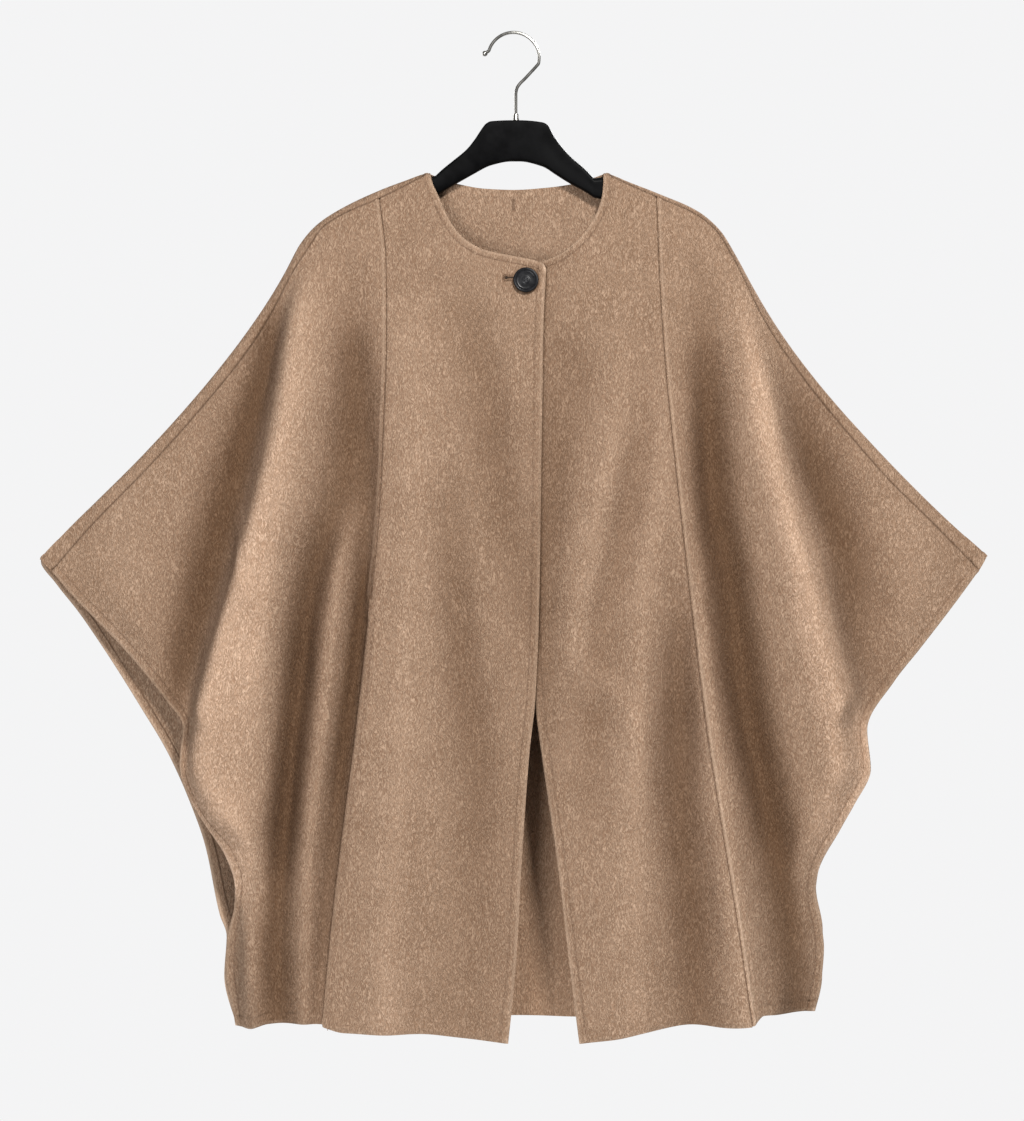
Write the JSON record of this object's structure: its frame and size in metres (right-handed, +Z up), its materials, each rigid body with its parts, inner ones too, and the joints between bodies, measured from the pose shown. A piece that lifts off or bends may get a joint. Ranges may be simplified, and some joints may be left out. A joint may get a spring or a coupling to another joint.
{
  "type": "wool cape on a coat hanger",
  "caption": "Buttoned collarless wool cape with panelled front, wide open-sided wings and a front slit, hanging on a flat plastic coat hanger with a wire hook.",
  "frame": {"origin": "underside of the hook's bend, where a rail or peg bears, in the middle plane of the hanger", "axes": "+Z up, +Y towards the cape's back, +X to the right as seen from the front, which is the wearer's left"},
  "size_m": [0.962, 0.0979, 1.0212],
  "materials": {
    "wool": "brushed double-faced wool, camel and brown melange",
    "button": "satin, very dark blue",
    "hanger_plastic": "satin black",
    "hook_wire": "brushed nickel"
  },
  "bodies": {
    "root": {"front_centre_right": "wool", "front_centre_left": "wool", "front_side_right": "wool", "front_side_left": "wool", "back_right": "wool", "back_left": "wool", "button": "button", "hanger_body": "hanger_plastic", "hanger_collar": "hanger_plastic", "hanger_hook": "hook_wire"}
  },
  "joints": []
}
